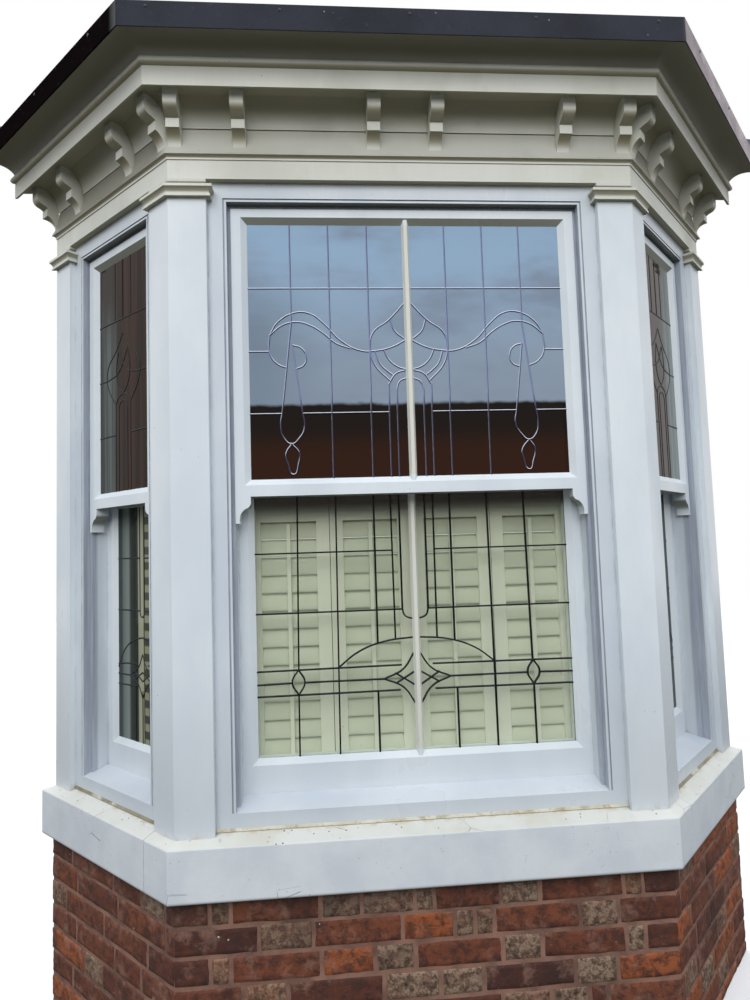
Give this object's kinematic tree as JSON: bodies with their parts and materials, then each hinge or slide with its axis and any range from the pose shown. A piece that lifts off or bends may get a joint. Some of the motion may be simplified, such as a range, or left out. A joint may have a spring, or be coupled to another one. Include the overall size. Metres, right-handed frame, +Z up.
{
  "type": "bay window",
  "caption": "Canted bay window with sliding sashes, louvred shutters and a bracketed cornice on a brick dwarf wall.",
  "frame": {"origin": "on the ground, midway across the bay and midway from front to back", "axes": "+X to the right seen from the street, +Y into the house, +Z up"},
  "size_m": [3.1052, 0.7404, 3.2301],
  "materials": {
    "brickwork": "weathered brick",
    "painted_sill_stone": "painted",
    "white_joinery": "gloss paint",
    "cream_joinery": "satin paint",
    "shutter_cream": "satin paint",
    "window_glass": "polished",
    "slate_grey_trim": "gloss",
    "roof_laminate": "satin",
    "lead_flashing": "matt",
    "carcassing_timber": "sawn",
    "ceiling_plaster": "matt",
    "inside_paint": "satin paint"
  },
  "bodies": {
    "root": {"architrave": "cream_joinery", "bed_moulding": "cream_joinery", "box_frame_front": "white_joinery", "box_frame_left": "white_joinery", "box_frame_right": "white_joinery", "brick_dwarf_wall": "brickwork", "ceiling_board": "ceiling_plaster", "corner_post_left": "white_joinery", "corner_post_right": "white_joinery", "corona": "cream_joinery", "crown_moulding": "cream_joinery", "eaves_cove": "cream_joinery", "eaves_soffit": "cream_joinery", "frieze_board": "cream_joinery", "head_beam": "carcassing_timber", "lower_sash_front": "white_joinery", "lower_sash_left": "white_joinery", "lower_sash_right": "white_joinery", "post_caps": "cream_joinery", "roof_covering": "roof_laminate", "roof_deck": "carcassing_timber", "roof_edge_trim": "slate_grey_trim", "roof_joists": "carcassing_timber", "scroll_brackets_front": "cream_joinery", "scroll_brackets_left": "cream_joinery", "scroll_brackets_right": "cream_joinery", "shutter_louvres_front": "shutter_cream", "shutter_louvres_left": "shutter_cream", "shutter_louvres_right": "shutter_cream", "shutter_panels_front": "shutter_cream", "shutter_panels_left": "shutter_cream", "shutter_panels_right": "shutter_cream", "shutter_surrounds": "shutter_cream", "shutter_tilt_rods": "shutter_cream", "sill_stone_front": "painted_sill_stone", "sill_stones_canted": "painted_sill_stone", "upper_sash_front": "white_joinery", "upper_sash_left": "white_joinery", "upper_sash_right": "white_joinery", "wall_flashing": "lead_flashing", "wall_posts": "white_joinery", "window_board": "inside_paint", "window_glass_front": "window_glass", "window_glass_left": "window_glass", "window_glass_right": "window_glass"}
  },
  "joints": []
}
